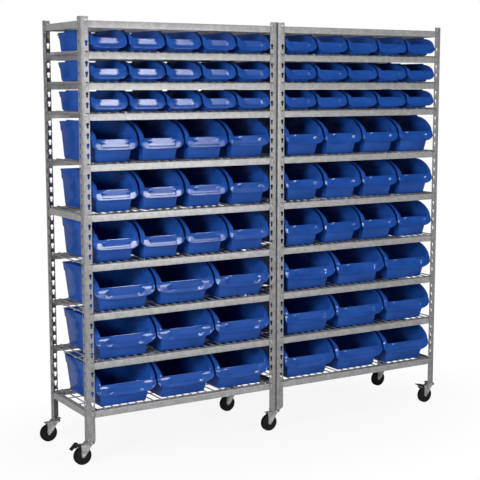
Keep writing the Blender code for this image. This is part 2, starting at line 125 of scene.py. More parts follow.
def cutSheet(name, outline, wall):
    # a flat sheet from an outline in X and Z, from Y = 0 back to Y = wall
    sheet = startRing(name, outline)
    with editing(sheet):
        bpy.ops.mesh.select_all(action="SELECT")
        bpy.ops.mesh.edge_face_add()
        bpy.ops.mesh.extrude_region_move(TRANSFORM_OT_translate={"value": (0, wall, 0)})
        bpy.ops.mesh.select_all(action="SELECT")
        bpy.ops.mesh.normals_make_consistent(inside=False)
    return sheet


def applyModifier(piece, kind, **settings):
    pick(piece)
    step = piece.modifiers.new(kind.lower(), kind)
    for name, value in settings.items():
        setattr(step, name, value)
    bpy.ops.object.modifier_apply(modifier=step.name)
    return piece


def repeat(piece, count, step):
    spacing = {"use_relative_offset": False, "use_constant_offset": True, "constant_offset_displace": step}
    return applyModifier(piece, "ARRAY", count=count, **spacing)


def thicken(piece, wall, even=True):
    return applyModifier(piece, "SOLIDIFY", thickness=wall, offset=-1, use_even_offset=even)


def roundEdges(piece, width, segments=2, angle=35):
    return applyModifier(
        piece,
        "BEVEL",
        width=width,
        segments=segments,
        limit_method="ANGLE",
        angle_limit=math.radians(angle),
        use_clamp_overlap=True,
    )


def cutAway(piece, cutter):
    applyModifier(piece, "BOOLEAN", operation="DIFFERENCE", object=cutter, solver="EXACT")
    bpy.data.objects.remove(cutter)
    return piece


def facesOut(piece):
    with editing(piece):
        bpy.ops.mesh.select_all(action="SELECT")
        bpy.ops.mesh.remove_doubles(threshold=0.00001)
        bpy.ops.mesh.normals_make_consistent(inside=False)
    return piece


def joinInto(first, *others):
    pick(first, *others)
    bpy.ops.object.join()
    return first


def standing(edge):
    return abs(edge.verts[0].co.z - edge.verts[1].co.z) > 0.001


def shade(piece, angle):
    pick(piece)
    bpy.ops.object.shade_smooth_by_angle(angle=math.radians(angle))
    return piece


def copyOf(piece, name, offset=(0, 0, 0), turn=None):
    copy = bpy.data.objects.new(name, piece.data.copy())
    bpy.context.scene.collection.objects.link(copy)
    if turn is not None:
        copy.data.transform(turn)
    copy.data.transform(Matrix.Translation(offset))
    return copy


def mirrored(piece, name, axis):
    copy = copyOf(piece, name, turn=Matrix.Scale(-1, 4, axis))
    copy.data.flip_normals()
    return copy


def put(piece, body, slot, finish, *nodes):
    piece.data.materials.clear()
    piece.data.materials.append(finish)
    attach(piece, body)
    if nodes:
        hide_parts(*nodes)
    return piece


def drop(*pieces):
    for piece in pieces:
        bpy.data.objects.remove(piece)


class Wire:
    # a node socket that can be added and multiplied like a number
    def __init__(self, shader, socket):
        self.shader, self.socket = shader, socket

    def math(self, operation, *others):
        return self.shader.add("ShaderNodeMath", {"operation": operation}, dict(enumerate((self, *others))))

    def __add__(self, other):
        return self.math("ADD", other)

    __radd__ = __add__

    def __mul__(self, other):
        return self.math("MULTIPLY", other)

    __rmul__ = __mul__

    def between(self, low, high):
        # 0 below low, 1 above high, smooth in between
        return self.shader.add(
            "ShaderNodeMapRange",
            {"interpolation_type": "SMOOTHSTEP", "clamp": True},
            {"Value": self, "From Min": low, "From Max": high, "To Min": 0.0, "To Max": 1.0},
        )


class Shader:
    def __init__(self, tree):
        self.tree = tree

    def add(self, kind, settings, values, output=0):
        node = self.tree.nodes.new(kind)
        for name, value in settings.items():
            setattr(node, name, value)
        for name, value in values.items():
            socket = node.inputs[name]
            if isinstance(value, Wire):
                self.tree.links.new(value.socket, socket)
            elif isinstance(value, (tuple, list)) and socket.type == "RGBA":
                socket.default_value = (*value, 1) if len(value) == 3 else value
            else:
                socket.default_value = value
        return Wire(self, node.outputs[output])


class Finish(Shader):
    def __init__(self, name, roughness, metallic=0.0, specular=0.5):
        self.material = bpy.data.materials.new(name)
        self.material.use_nodes = True
        super().__init__(self.material.node_tree)
        self.surface = self.tree.nodes["Principled BSDF"]
        for socket, value in (("Roughness", roughness), ("Metallic", metallic), ("Specular IOR Level", specular)):
            self.surface.inputs[socket].default_value = value
        self.roughness = roughness
        self.place = self.add("ShaderNodeTexCoord", {}, {}, "Object")

    def noise(self, scale, detail=2.0, rough=0.5, stretch=None):
        where = self.place
        if stretch:
            where = self.add("ShaderNodeMapping", {}, {"Vector": where, "Scale": stretch})
        values = {"Vector": where, "Scale": scale, "Detail": detail, "Roughness": rough}
        return self.add("ShaderNodeTexNoise", {}, values, "Fac")

    def mix(self, share, first, second):
        # inputs 6 and 7 and output 2 are the mix node's colours
        return self.add("ShaderNodeMix", {"data_type": "RGBA"}, {0: share, 6: first, 7: second}, 2)

    def feed(self, **wires):
        for name, wire in wires.items():
            self.tree.links.new(wire.socket, self.surface.inputs[name.replace("_", " ")])
        return self

    def vary(self, pattern, spread):
        # lets the roughness follow a noise pattern, about the finish's own value
        return self.feed(Roughness=pattern * spread + (self.roughness - spread / 2))

    def bump(self, height, strength, distance):
        wire = self.add("ShaderNodeBump", {}, {"Height": height, "Strength": strength, "Distance": distance}, "Normal")
        return self.feed(Normal=wire)


paintLook = {
    "dark": (0.147, 0.147, 0.149),
    "light": (0.362, 0.362, 0.364),
    "speckScale": 420,
    "speckShare": 0.7,
    "patchScale": 55,
    "brightness": {"post": 0.98, "beam": 1.27},
}


def paintFinish(name, brightness):
    # silver-grey hammered paint: fine dark and light specks over soft patches
    finish = Finish(name, roughness=0.4, metallic=0.05, specular=0.22)
    specks = finish.noise(paintLook["speckScale"], detail=3.0, rough=0.65)
    patches = finish.noise(paintLook["patchScale"], detail=2.0)
    main = paintLook["speckShare"]
    share = specks.between(0.36, 0.64) * main + patches.between(0.3, 0.7) * (1 - main)
    dark, light = (tuple(brightness * value for value in paintLook[tone]) for tone in ("dark", "light"))
    finish.feed(Base_Color=finish.mix(share, dark, light))
    finish.vary(specks, 0.3)
    finish.bump(specks, strength=0.25, distance=0.0003)
    return finish.material


wireLook = {"dark": (0.34, 0.34, 0.35), "light": (0.62, 0.62, 0.64), "streakScale": 260}


def wireFinish():
    # bright drawn wire with faint darker streaks
    finish = Finish("deckWire", roughness=0.325, metallic=0.5)
    streaks = finish.noise(wireLook["streakScale"], detail=3.0)
    finish.feed(Base_Color=finish.mix(streaks.between(0.35, 0.7), wireLook["dark"], wireLook["light"]))
    finish.vary(streaks, 0.25)
    finish.bump(streaks, strength=0.1, distance=0.0002)
    return finish.material


zincLook = {
    "dark": (0.22, 0.22, 0.215),
    "light": (0.42, 0.42, 0.41),
    "cloudScale": 70,
    "cloudShare": 0.7,
    "grainScale": 900,
    "grainStretch": (1, 1, 0.15),
}


def zincFinish():
    # dull zinc with faint clouds and rolling lines
    finish = Finish("zincPlate", roughness=0.365, metallic=0.4)
    clouds = finish.noise(zincLook["cloudScale"], detail=3.0)
    grain = finish.noise(zincLook["grainScale"], detail=2.0, stretch=zincLook["grainStretch"])
    main = zincLook["cloudShare"]
    share = clouds.between(0.3, 0.7) * main + grain.between(0.3, 0.7) * (1 - main)
    finish.feed(Base_Color=finish.mix(share, zincLook["dark"], zincLook["light"]))
    finish.vary(clouds, 0.25)
    finish.bump(grain, strength=0.12, distance=0.0002)
    return finish.material


def blackFinish(name, dark, light, dustScale, roughness):
    # black rubber or plastic with a little dust on it
    finish = Finish(name, roughness=roughness, specular=0.12)
    dust = finish.noise(dustScale, detail=4.0, rough=0.6)
    finish.feed(Base_Color=finish.mix(dust.between(0.42, 0.75), dark, light))
    finish.vary(dust, 0.3)
    finish.bump(dust, strength=0.2, distance=0.0003)
    return finish.material


binLook = {
    "dark": (0.011, 0.065, 0.31),
    "light": (0.017, 0.085, 0.39),
    "rubbed": (0.06, 0.16, 0.5),
    "rubScale": 120,
    "rubStrength": 0.3,
    "flowScale": 9,
    "flowStretch": (1, 0.6, 2.5),
    "grainScale": 1400,
}


def binFinish():
    # moulded blue plastic: faint flow marks, a fine moulded grain and a few rubbed places
    finish = Finish("binPlastic", roughness=0.15, specular=0.22)
    flow = finish.noise(binLook["flowScale"], detail=2.0, stretch=binLook["flowStretch"])
    grain = finish.noise(binLook["grainScale"], detail=2.0)
    rubs = finish.noise(binLook["rubScale"], detail=4.0, rough=0.7)
    body = finish.mix(flow.between(0.3, 0.7), binLook["dark"], binLook["light"])
    worn = rubs.between(0.66, 0.82) * binLook["rubStrength"]
    finish.feed(Base_Color=finish.mix(worn, body, binLook["rubbed"]))
    finish.vary(rubs, 0.12)
    finish.bump(grain, strength=0.08, distance=0.0002)
    return finish.material


finishes = {
    "post": paintFinish("postPaint", paintLook["brightness"]["post"]),
    "beam": paintFinish("beamPaint", paintLook["brightness"]["beam"]),
    "wire": wireFinish(),
    "zinc": zincFinish(),
    "rubber": blackFinish("wheelRubber", (0.004, 0.004, 0.004), (0.012, 0.012, 0.012), dustScale=240, roughness=0.6),
    "pedal": blackFinish("pedalBlack", (0.012, 0.012, 0.012), (0.03, 0.03, 0.031), dustScale=500, roughness=0.5),
    "bin": binFinish(),
}
print("finishes ready")


quarter = [Matrix.Rotation(math.radians(90 * turn), 4, "Z") for turn in range(4)]

post = {
    "flange": 0.0314,
    "wall": 0.002,
    "cornerRadius": 0.0028,
    "slotPitch": 0.0381,
    "slotFromCorner": 0.0224,
    "headRadius": 0.0065,
    "slotHalfWidth": 0.004,
    "slotHeight": 0.022,
    "headTopAboveLevel": 0.0042,
    "slots": 40,
    "foot": 0.0873,
    # the beams' faces lie this far behind the posts' outer faces
    "beamInset": 0.0023,
    # across and up: the free corner cut off at the foot of two posts
    "trim": (0.018, 0.01),
    "trimmed": ("front_centre_right_post", "rear_left_post"),
}


def keyholePoints():
    # a round head over a narrow slot with a round end, about the head's middle
    head, half = post["headRadius"], post["slotHalfWidth"]
    drop = post["slotHeight"] - head - half
    meet = math.degrees(math.asin(half / head))
    points = []
    for step in range(13):
        angle = math.radians(-90 + meet + (360 - 2 * meet) * step / 12)
        points.append((head * math.cos(angle), head * math.sin(angle)))
    for step in range(7):
        angle = math.radians(180 + 30 * step)
        points.append((half * math.cos(angle), half * math.sin(angle) - drop))
    return points


def keyholeCutter(lowestLevel):
    cutter = cutSheet("keyholeCutter", keyholePoints(), 3 * post["wall"])
    headMiddle = lowestLevel + post["headTopAboveLevel"] - post["headRadius"]
    cutter.data.transform(Matrix.Translation((post["slotFromCorner"], -post["wall"], headMiddle)))
    repeat(cutter, post["slots"], (0, 0, post["slotPitch"]))
    # the same slots in the other flange, mirrored about the post's corner
    side = copyOf(cutter, "sideCutter", turn=quarter[1] @ Matrix.Scale(-1, 4, (0, 1, 0)))
    side.data.flip_normals()
    return joinInto(cutter, side)


def makePost(low, top, lowestLevel):
    # an angle with its corner at X = Y = 0 and its flanges along +X and +Y
    flange = post["flange"]
    angle = startBox("postAngle", (0, 0, low), (flange, flange, top))
    with editing(angle):
        choose(angle, "faces", lambda face: max(face.normal) > 0.9 or face.normal.z < -0.9)
        bpy.ops.mesh.delete(type="FACE")
        choose(angle, "edges", lambda edge: abs(middleOf(edge).x) + abs(middleOf(edge).y) < 0.0001)
        bpy.ops.mesh.bevel(offset=post["cornerRadius"], segments=4, affect="EDGES")
    thicken(angle, post["wall"])
    facesOut(angle)
    cutAway(angle, keyholeCutter(lowestLevel))
    return shade(angle, 30)


def trimCutter(corner):
    # a wedge under the free corner of the flange that runs along +X from this corner
    (across, up), overrun = post["trim"], 0.001
    free, low = post["flange"] + overrun, post["foot"] - overrun
    wedge = cutSheet("trim", [(free - across, low), (free, low), (free, post["foot"] + up)], 3 * post["wall"])
    wedge.data.transform(Matrix.Translation((corner[0], corner[1] - 1.5 * post["wall"], 0)))
    return wedge


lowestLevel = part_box("left_shelf_9")[1].z - deckRise
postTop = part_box("front_left_post")[1].z
plainPost = makePost(post["foot"], postTop, lowestLevel)
postVariants = {
    (1, 1): plainPost,
    (-1, 1): mirrored(plainPost, "postLeft", (1, 0, 0)),
    (1, -1): mirrored(plainPost, "postRear", (0, 1, 0)),
}
postVariants[(-1, -1)] = mirrored(postVariants[(-1, 1)], "postRearLeft", (0, 1, 0))
postSides = {"left": 1, "centre_left": -1, "centre_right": 1, "right": -1}
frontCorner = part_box("front_left_post")[0].y
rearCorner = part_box("rear_left_post")[1].y
postCorners = {
    "left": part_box("left_top_frame")[0].x - post["beamInset"],
    "centre_left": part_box("left_top_frame")[1].x + post["beamInset"],
    "centre_right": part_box("right_top_frame")[0].x - post["beamInset"],
    "right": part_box("right_top_frame")[1].x + post["beamInset"],
}
for endName, end in (("front", 1), ("rear", -1)):
    for sideName, side in postSides.items():
        node = f"{endName}_{sideName}_post"
        corner = (postCorners[sideName], frontCorner if end > 0 else rearCorner, 0)
        angle = copyOf(postVariants[(side, end)], f"{node}_angle", corner)
        if node in post["trimmed"]:
            cutAway(angle, trimCutter(corner))
        put(angle, "frame", "post_paint", finishes["post"], node)
drop(*postVariants.values())
print("posts done")


beam = {
    "height": 0.0262,
    "wall": 0.002,
    "ledge": 0.02,
    "bend": 0.0024,
    "endGap": 0.0006,
    "sideGap": 0.0005,
    "bracketDrop": 0.056,
    "bracketWidth": 0.0275,
    "bracketWall": 0.0018,
    "bracketGap": 0.0004,
}

rivet = {
    "radius": 0.0048,
    "proud": 0.0016,
    "belowLevel": 0.0131,
    "gap": 0.0001,
    # how far in and how far out the head's flat lies
    "dome": (0.0016, 0.0004),
    "shankInset": 0.002,
    "shank": 0.006,
}

deck = {
    "wire": 0.0025,
    "wireRound": 0.0012,
    "sideMargin": 0.0105,
    "endInset": 0.0095,
    "crossWires": 25,
    "longShares": (0.075, 0.36, 0.64, 0.925),
    "longOverhang": 0.004,
    # the long wires' depth under the ledges as a share of their radius
    "longDrop": 0.85,
    "sides": 8,
}


def makeBeam(name, length):
    # an angle beam along X from 0, its face at Y = 0 and its ledge level with Z = 0
    bar = startBox(name, (0, 0, -beam["height"]), (length, beam["ledge"], 0))
    with editing(bar):
        choose(bar, "faces", lambda face: face.normal.y > 0.9 or face.normal.z < -0.9 or abs(face.normal.x) > 0.9)
        bpy.ops.mesh.delete(type="FACE")
        choose(bar, "edges", lambda edge: abs(middleOf(edge).y) + abs(middleOf(edge).z) < 0.0001)
        bpy.ops.mesh.bevel(offset=beam["bend"], segments=4, affect="EDGES")
    thicken(bar, beam["wall"])
    facesOut(bar)
    roundEdges(bar, 0.0004, 1, 50)
    return shade(bar, 30)


def makeRivet():
    # a low domed head on a short shank, its axis along Y and its head towards -Y
    head = startRod("rivet", rivet["radius"], (0, 0, 0), (0, -rivet["proud"], 0), 14)
    with editing(head):
        choose(head, "faces", lambda face: face.normal.y < -0.9)
        bpy.ops.mesh.inset(thickness=rivet["dome"][0])
        bpy.ops.transform.translate(value=(0, -rivet["dome"][1], 0))
        choose(head, "faces", lambda face: face.normal.y > 0.9)
        bpy.ops.mesh.inset(thickness=rivet["shankInset"])
        bpy.ops.mesh.extrude_region_move(TRANSFORM_OT_translate={"value": (0, rivet["shank"], 0)})
    roundEdges(head, 0.0005, 2, 40)
    return shade(head, 40)


def makeDeck(width, depth):
    # front-to-rear wires that rest on the ledges, over long wires that they are welded to
    radius, margin, inset = deck["wire"], deck["sideMargin"], deck["endInset"]
    cross = startRod("deckWires", radius, (margin, inset, radius), (margin, depth - inset, radius), deck["sides"])
    roundEdges(cross, deck["wireRound"], 2, 60)
    repeat(cross, deck["crossWires"], ((width - 2 * margin) / (deck["crossWires"] - 1), 0, 0))
    start, low = margin - deck["longOverhang"], -radius * deck["longDrop"]
    longs = []
    for line in (depth * share for share in deck["longShares"]):
        longWire = startRod("longWire", radius, (start, line, low), (width - start, line, low), deck["sides"])
        longs.append(roundEdges(longWire, deck["wireRound"], 2, 60))
    joinInto(cross, *longs)
    return shade(cross, 50)


bayWidth = postCorners["centre_left"] - postCorners["left"]
frameDepth = rearCorner - frontCorner
frontBeam = makeBeam("frontBeam", bayWidth - 2 * (post["beamInset"] + beam["endGap"]))
sideBeam = makeBeam("sideBeam", frameDepth - 2 * (post["beamInset"] + beam["ledge"] + beam["sideGap"]))
rivetShape = makeRivet()
deckShape = makeDeck(bayWidth, frameDepth)


def levelBeams(name, left, level, withSides):
    inset = post["beamInset"]
    right, rear = left + bayWidth, frontCorner + frameDepth
    start = inset + beam["endGap"]
    bars = [
        copyOf(frontBeam, f"{name}_beams", (left + start, frontCorner + inset, level)),
        copyOf(frontBeam, "rearBeam", (right - start, rear - inset, level), quarter[2]),
    ]
    if withSides:
        near = inset + beam["ledge"] + beam["sideGap"]
        bars.append(copyOf(sideBeam, "rightBeam", (right - inset, frontCorner + near, level), quarter[1]))
        bars.append(copyOf(sideBeam, "leftBeam", (left + inset, rear - near, level), quarter[3]))
    # rivet heads stand proud of the post's outer faces, through the foot of each keyhole
    height, reach, gap = level - rivet["belowLevel"], post["slotFromCorner"], rivet["gap"]
    for across in (left + reach, right - reach):
        bars.append(copyOf(rivetShape, "rivet", (across, frontCorner - gap, height)))
        bars.append(copyOf(rivetShape, "rivet", (across, rear + gap, height), quarter[2]))
    if withSides:
        for deep in (frontCorner + reach, rear - reach):
            bars.append(copyOf(rivetShape, "rivet", (left - gap, deep, height), quarter[3]))
            bars.append(copyOf(rivetShape, "rivet", (right + gap, deep, height), quarter[1]))
    return joinInto(*bars)


def topBracket(left, side, end, level):
    # the plate behind a post's flange, under the top beams' ends
    gap, wall = post["beamInset"], beam["bracketWall"]
    corner = (left if side > 0 else left + bayWidth, frontCorner if end > 0 else rearCorner)
    low = (corner[0] + side * gap, corner[1] + end * gap, level - beam["bracketDrop"])
    top = level - beam["height"] - beam["bracketGap"]
    high = (low[0] + side * beam["bracketWidth"], low[1] + end * wall, top)
    corners = [sorted(pair) for pair in zip(low, high)]
    plate = startBox("bracket", [pair[0] for pair in corners], [pair[1] for pair in corners])
    return roundEdges(plate, 0.0005, 1)


for bay in bays:
    left = postCorners["left" if bay == "left" else "centre_right"]
    for number in range(10):
        node = f"{bay}_top_frame" if number == 0 else f"{bay}_shelf_{number}"
        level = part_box(node)[1].z - (deckRise if number else 0)
        bars = levelBeams(node, left, level, number in (0, 5, 9))
        if number == 0:
            joinInto(bars, *(topBracket(left, side, end, level) for side in (1, -1) for end in (1, -1)))
        put(bars, "frame", "beam_paint", finishes["beam"], node)
        if number:
            wires = copyOf(deckShape, f"{node}_wires", (left, frontCorner, level))
            put(wires, "frame", "beam_paint", finishes["wire"])
drop(frontBeam, sideBeam, rivetShape, deckShape)
print("beams and decks done")


binShape = {
    "wall": 0.0025,
    "gap": 0.010,
    # how far a row of bins stays clear of the posts' flanges
    "postGap": 0.001,
    "baseFront": 0.034,
    "baseBack": 0.337,
    "topBack": 0.343,
    "topInset": 0.009,
    "cornerRadius": 0.0055,
    "footRadius": 0.013,
    "shoulderOut": 0.0024,
    "shoulderStep": 0.004,
    "ridgeBack": 0.268,
    "edgeRound": 0.0008,
    "hangerWall": 0.0025,
    "hangerInset": 0.012,
    "hangerRoot": 0.004,
    "hangerFlat": 0.009,
    # how far back and down the lip goes to its bend, after which it drops more over the rest of its reach
    "hangerBend": (0.012, 0.001),
    "hangerReach": 0.0325,
    "hangerDrop": 0.005,
    "panelBack": 0.0051,
    "flangeLean": 0.0042,
    # each roll's depth, and the share of the flange's height or half width at which it starts
    "lowerRoll": (0.003, 0.05),
    "upperRoll": (0.0036, 0.6),
    "endRoll": (0.0034, 0.84),
    # how far the lower edge lifts towards the flange's ends, as a share of its height, and where that starts
    "droop": (0.5, 0.6),
    "beadProud": 0.001,
    "beadShares": (0.06, 0.1),
    "scoopLine": (
        (0.0, 0.0), (0.004, 0.1), (0.045, 0.22), (0.13, 0.37), (0.24, 0.52),
        (0.38, 0.67), (0.54, 0.8), (0.74, 0.91), (1.0, 1.0),
    ),
}

binSizes = {
    "small": {
        "count": 5, "height": 0.076, "ridge": 0.0048, "lip": 0.0482, "flangeLow": 0.0087, "baseInset": 0.0188,
        "scoop": 0.056, "shoulder": 0.02, "label": 0.55, "band": 0.24, "smile": 0.05,
    },
    "medium": {
        "count": 4, "height": 0.150, "ridge": 0.0063, "lip": 0.0882, "flangeLow": 0.0447, "baseInset": 0.0237,
        "scoop": 0.09, "shoulder": 0.038, "label": 0.6, "band": 0.24, "smile": 0.05,
    },
    "large": {
        "count": 3, "height": 0.1527, "ridge": 0.0043, "lip": 0.0932, "flangeLow": 0.0427, "baseInset": 0.03,
        "scoop": 0.086, "shoulder": 0.032, "label": 0.56, "band": 0.38, "smile": 0.1,
    },
}


def binPitch(size):
    return (bayWidth - 2 * (post["flange"] + binShape["postGap"])) / size["count"]


def scoopPoints(size):
    rise = size["height"] - size["lip"]
    return [(back * size["scoop"], size["lip"] + up * rise) for back, up in binShape["scoopLine"]]


def insetAt(size, up):
    return size["baseInset"] + (binShape["topInset"] - size["baseInset"]) * up / size["height"]


def sideCutter(outline, half):
    # an outline in Y and Z, drawn out across the whole bin
    overrun = 0.01
    cutter = cutSheet("sideCutter", outline, 2 * (half + overrun))
    cutter.data.transform(Matrix.Translation((half + overrun, 0, 0)) @ quarter[1])
    return cutter


def makeTray(size, half):
    # the tapered tray: rounded edges, an upper band that steps out, a scooped front and a low ridge on each side
    height, lip, out = size["height"], size["lip"], binShape["shoulderOut"]
    tall = height + size["ridge"]
    grow = tall / height
    baseHalf = half - size["baseInset"]
    baseFront, baseBack = binShape["baseFront"], binShape["baseBack"]
    rimFront = binShape["panelBack"] + 0.6 * binShape["wall"]
    topHalf = baseHalf + (half - binShape["topInset"] - out - baseHalf) * grow
    topFront = baseFront - (baseFront - rimFront) / lip * tall
    topBack = baseBack + (binShape["topBack"] - out - baseBack) * grow
    tray = startBox("tray", (-topHalf, topFront, 0), (topHalf, topBack, tall))
    with editing(tray):
        choose(tray, "faces", lambda face: face.normal.z < -0.9)
        bpy.ops.transform.resize(value=(baseHalf / topHalf, 1, 1))
        choose(tray, "edges", lambda edge: abs(middleOf(edge).z) < 0.0001 and middleOf(edge).y < topFront + 0.001)
        bpy.ops.transform.translate(value=(0, baseFront - topFront, 0))
        choose(tray, "edges", lambda edge: abs(middleOf(edge).z) < 0.0001 and middleOf(edge).y > topBack - 0.001)
        bpy.ops.transform.translate(value=(0, baseBack - topBack, 0))
        choose(tray, "edges", lambda edge: abs(middleOf(edge).z) < 0.0001 and middleOf(edge).y > baseBack - 0.001)
        bpy.ops.mesh.bevel(offset=binShape["footRadius"], segments=4, affect="EDGES")
        choose(
            tray,
            "edges",
            lambda edge: min(vert.co.z for vert in edge.verts) < tall - 0.001 and edge.calc_face_angle() > 0.6,
        )
        bpy.ops.mesh.bevel(offset=binShape["cornerRadius"], segments=3, affect="EDGES")
        choose(tray, "faces", lambda face: face.normal.z > 0.9 and middleOf(face).z > height / 2)
        bpy.ops.mesh.delete(type="FACE")
        for line in (height - size["shoulder"] - binShape["shoulderStep"], height - size["shoulder"]):
            bpy.ops.mesh.select_all(action="SELECT")
            bpy.ops.mesh.bisect(plane_co=(0, 0, line), plane_no=(0, 0, 1))
        middleY, halfY = (topFront + topBack) / 2, (topBack - topFront) / 2
        choose(tray, "verts", lambda vert: vert.co.z > height - size["shoulder"] - 0.0005)
        wider = ((topHalf + out) / topHalf, (halfY + out) / halfY, 1)
        bpy.ops.transform.resize(value=wider, center_override=(0, middleY, 0))
    thicken(tray, binShape["wall"])
    facesOut(tray)
    # the cutters reach out to these lines in front of, behind and above the bin
    before, far, above = -0.06, binShape["topBack"] + 0.01, tall + 0.004
    shift = binShape["panelBack"] + binShape["upperRoll"][0] + 0.5 * binShape["wall"]
    line = [(back + shift, up) for back, up in scoopPoints(size)]
    # the cut starts just below the flange's top edge, so that the flange covers it
    line[0] = (line[0][0], line[0][1] - 0.0006)
    scoop = [(before, line[0][1]), *line, (line[-1][0] + 0.005, above), (before, above)]
    cutAway(tray, sideCutter(scoop, half))
    # behind its slanted rear end the ridge is cut off level with the rim
    ridgeBack = binShape["ridgeBack"]
    rear = [(ridgeBack + size["ridge"], height), (far, height), (far, above), (ridgeBack - 0.004, above)]
    cutAway(tray, sideCutter(rear, half))
    roundEdges(tray, binShape["edgeRound"], 2, 40)
    return shade(tray, 40)


def past(value, start):
    # 0 up to start, then the square of the way from there to 1
    return max(0.0, (value - start) / (1 - start)) ** 2


def flangePlace(size, half, share, up):
    # a point of the front flange: its low edge stands forward, its edges are rolled back and a flat takes the label
    reach = abs(share)
    lift, liftStart = binShape["droop"]
    droop = size["smile"] * reach ** 2 + lift * (1 - math.sqrt(1 - past(reach, liftStart)))
    bottom = size["flangeLow"] + (size["lip"] - size["flangeLow"]) * droop
    (lowerRoll, lowerShare), (upperRoll, upperShare) = binShape["lowerRoll"], binShape["upperRoll"]
    deep = -binShape["flangeLean"] * (1 - up)
    deep += lowerRoll * max(0.0, (lowerShare - up) / lowerShare) ** 2
    deep += upperRoll * past(up, upperShare)
    if binShape["beadShares"][0] < up < binShape["beadShares"][1]:
        deep -= binShape["beadProud"]
    if reach < size["label"] and up > size["band"]:
        deep = 0.0
    return (share * half, deep, bottom + (size["lip"] - bottom) * up)


def makeFront(size, half):
    # the front flange and the rim that carries on up both sides of the scoop, as one curved sheet
    label, band, lip = size["label"], size["band"], size["lip"]
    shares = [1.0, 0.99, 0.975, 0.955, 0.93, 0.9, 0.86, 0.81, 0.75, 0.68, label + 0.014, label - 0.004, 0.4, 0.2]
    columns = [-share for share in shares] + [0.0] + shares[::-1]
    flangeRows = (0.0, 0.02, 0.05, 0.065, 0.095, 0.11, band - 0.02, band + 0.02, 0.5, 0.6, 0.68, 0.76, 0.84, 0.92, 1.0)
    upper = scoopPoints(size)[1:]
    rowCount, wide = len(flangeRows) + len(upper), len(columns)
    rimShare = 1 - insetAt(size, lip) / half
    endRoll, endShare = binShape["endRoll"]
    bpy.ops.object.select_all(action="DESELECT")
    bpy.ops.mesh.primitive_grid_add(x_subdivisions=wide - 1, y_subdivisions=rowCount - 1, size=2)
    sheet = bpy.context.object
    sheet.name = "binFront"
    grid = sorted(sheet.data.vertices, key=lambda vertex: (round(vertex.co.y, 4), vertex.co.x))
    for row in range(rowCount):
        for column, share in enumerate(columns):
            if row < len(flangeRows):
                across, deep, up = flangePlace(size, half, share, flangeRows[row])
            else:
                back, up = upper[row - len(flangeRows)]
                inner = half - insetAt(size, up) - 0.001
                part = max(0.0, (abs(share) - rimShare) / (1 - rimShare))
                across = math.copysign(inner + (half - inner) * part, share)
                deep = back + binShape["upperRoll"][0]
            deep += endRoll * past(abs(share), endShare)
            grid[row * wide + column].co = (across, binShape["panelBack"] + deep, up)

    def overOpening(face):
        across, _, up = middleOf(face)
        return up > lip and abs(across) < half - insetAt(size, up) - 0.0006

    with editing(sheet):
        choose(sheet, "faces", overOpening)
        bpy.ops.mesh.delete(type="FACE")
        bpy.ops.mesh.select_all(action="SELECT")
        bpy.ops.mesh.delete_loose()
    thicken(sheet, binShape["wall"], even=False)
    roundEdges(sheet, 0.0007, 2, 60)
    return shade(sheet, 45)


def makeHangingLip(size, half):
    # the lip behind the bin that hooks over a rail
    height, back, flat = size["height"], binShape["topBack"], binShape["hangerFlat"]
    bendBack, bendDown = binShape["hangerBend"]
    last = binShape["hangerReach"] - flat - bendBack
    wide = half - binShape["topInset"] - binShape["hangerInset"]
    low = (-wide, back - binShape["hangerRoot"], height - binShape["hangerWall"])
    lip = startBox("hangingLip", low, (wide, back + flat, height))
    with editing(lip):
        choose(lip, "faces", lambda face: face.normal.y > 0.9)
        for move in ((0, bendBack, -bendDown), (0, last, -binShape["hangerDrop"])):
            bpy.ops.mesh.extrude_region_move(TRANSFORM_OT_translate={"value": move})
    roundEdges(lip, binShape["edgeRound"], 2, 25)
    return shade(lip, 40)


def makeBin(kind):
    size = binSizes[kind]
    half = (binPitch(size) - binShape["gap"]) / 2
    return joinInto(makeTray(size, half), makeFront(size, half), makeHangingLip(size, half))


binModels = {kind: makeBin(kind) for kind in binSizes}
for bay in bays:
    middle = postCorners["left" if bay == "left" else "centre_right"] + bayWidth / 2
    for number, kind in enumerate(binKinds, 1):
        node = f"{bay}_bin_row_{number}"
        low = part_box(node)[0]
        count, pitch = binSizes[kind]["count"], binPitch(binSizes[kind])
        for place in range(count):
            across = middle + (place - (count - 1) / 2) * pitch
            model = copyOf(binModels[kind], f"{node}_bin_{place + 1}", (across, low.y, low.z))
            put(model, f"{bay}_row_{number}", "bin_blue", finishes["bin"], *([node] if place == 0 else []))
drop(*binModels.values())
print("bins done")


